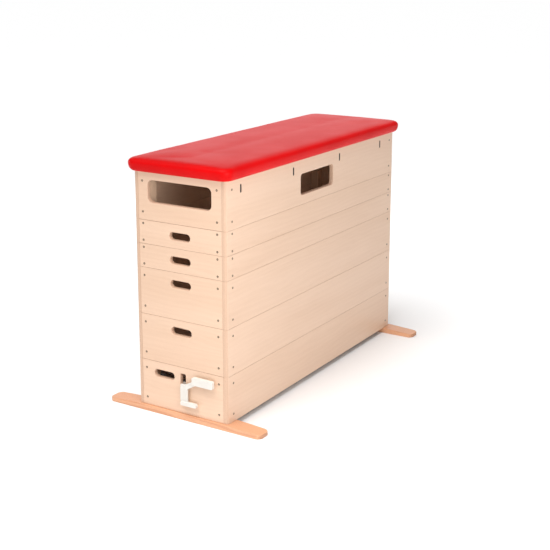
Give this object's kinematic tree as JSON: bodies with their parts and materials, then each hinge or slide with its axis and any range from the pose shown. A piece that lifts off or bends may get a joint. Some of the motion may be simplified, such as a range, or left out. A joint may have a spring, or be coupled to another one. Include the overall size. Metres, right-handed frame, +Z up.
{
  "type": "stacked vaulting box",
  "caption": "Tall wooden gymnastics vaulting box of stacked lift-off sections with a padded red top, long foot bars and retractable transport castors.",
  "frame": {"origin": "on the floor under the middle of the box", "axes": "+X along the box from the handle end to the rear end, +Y across it to the left, +Z up"},
  "size_m": [1.516, 0.768, 1.087],
  "materials": {
    "plywood": "satin lacquered birch plywood",
    "hardwood": "satin lacquered hardwood",
    "beech": "satin lacquered beech",
    "leather": "red coated upholstery leather, softly glossy",
    "foam": "matte open-cell foam",
    "enamel": "white powder coat",
    "zinc": "zinc-plated steel",
    "rubber": "matte black rubber"
  },
  "bodies": {
    "base_section": {"base_front_end_panel": "plywood", "base_rear_end_panel": "plywood", "base_left_side_panel": "plywood", "base_right_side_panel": "plywood", "base_front_left_post": "hardwood", "base_front_right_post": "hardwood", "base_rear_left_post": "hardwood", "base_rear_right_post": "hardwood", "front_foot_bar": "beech", "rear_foot_bar": "beech", "left_shaft_bracket": "zinc", "right_shaft_bracket": "zinc"},
    "fifth_section": {"fifth_front_end_panel": "plywood", "fifth_rear_end_panel": "plywood", "fifth_left_side_panel": "plywood", "fifth_right_side_panel": "plywood", "fifth_front_left_post": "hardwood", "fifth_front_right_post": "hardwood", "fifth_rear_left_post": "hardwood", "fifth_rear_right_post": "hardwood"},
    "fourth_section": {"fourth_front_end_panel": "plywood", "fourth_rear_end_panel": "plywood", "fourth_left_side_panel": "plywood", "fourth_right_side_panel": "plywood", "fourth_front_left_post": "hardwood", "fourth_front_right_post": "hardwood", "fourth_rear_left_post": "hardwood", "fourth_rear_right_post": "hardwood"},
    "third_section": {"third_front_end_panel": "plywood", "third_rear_end_panel": "plywood", "third_left_side_panel": "plywood", "third_right_side_panel": "plywood", "third_front_left_post": "hardwood", "third_front_right_post": "hardwood", "third_rear_left_post": "hardwood", "third_rear_right_post": "hardwood"},
    "second_section": {"second_front_end_panel": "plywood", "second_rear_end_panel": "plywood", "second_left_side_panel": "plywood", "second_right_side_panel": "plywood", "second_front_left_post": "hardwood", "second_front_right_post": "hardwood", "second_rear_left_post": "hardwood", "second_rear_right_post": "hardwood"},
    "top_section": {"top_front_end_panel": "plywood", "top_rear_end_panel": "plywood", "top_left_side_panel": "plywood", "top_right_side_panel": "plywood", "top_front_left_post": "hardwood", "top_front_right_post": "hardwood", "top_rear_left_post": "hardwood", "top_rear_right_post": "hardwood", "pad_cover": "leather", "pad_deck_board": "plywood", "pad_foam_core": "foam"},
    "lift_handle": {"lift_handle": "enamel"},
    "castor_crank": {"castor_crank": "zinc"},
    "left_castor": {"left_castor_wheel": "rubber"},
    "right_castor": {"right_castor_wheel": "rubber"}
  },
  "joints": [
    {"name": "fifth_section_lift", "type": "slide", "parent": "base_section", "child": "fifth_section", "axis": [0, 0, 1], "range_m": [0, 0.12]},
    {"name": "fourth_section_lift", "type": "slide", "parent": "fifth_section", "child": "fourth_section", "axis": [0, 0, 1], "range_m": [0, 0.12]},
    {"name": "third_section_lift", "type": "slide", "parent": "fourth_section", "child": "third_section", "axis": [0, 0, 1], "range_m": [0, 0.12]},
    {"name": "second_section_lift", "type": "slide", "parent": "third_section", "child": "second_section", "axis": [0, 0, 1], "range_m": [0, 0.12]},
    {"name": "top_section_lift", "type": "slide", "parent": "second_section", "child": "top_section", "axis": [0, 0, 1], "range_m": [0, 0.12]},
    {"name": "handle_lift", "type": "slide", "parent": "base_section", "child": "lift_handle", "axis": [0, 0, 1], "range_m": [0, 0.034]},
    {"name": "crank_turn", "type": "hinge", "parent": "base_section", "child": "castor_crank", "pos_m": [-0.59, 0, 0.105], "axis": [0, 1, 0], "range_deg": [0, 22]},
    {"name": "left_castor_spin", "type": "hinge", "parent": "castor_crank", "child": "left_castor", "pos_m": [-0.52, 0.145, 0.038], "axis": [0, 1, 0], "continuous": true},
    {"name": "right_castor_spin", "type": "hinge", "parent": "castor_crank", "child": "right_castor", "pos_m": [-0.52, -0.145, 0.038], "axis": [0, 1, 0], "continuous": true}
  ],
  "couplings": [
    {"joint": "crank_turn", "follows": "handle_lift", "rad_per_m": 11.288}
  ]
}
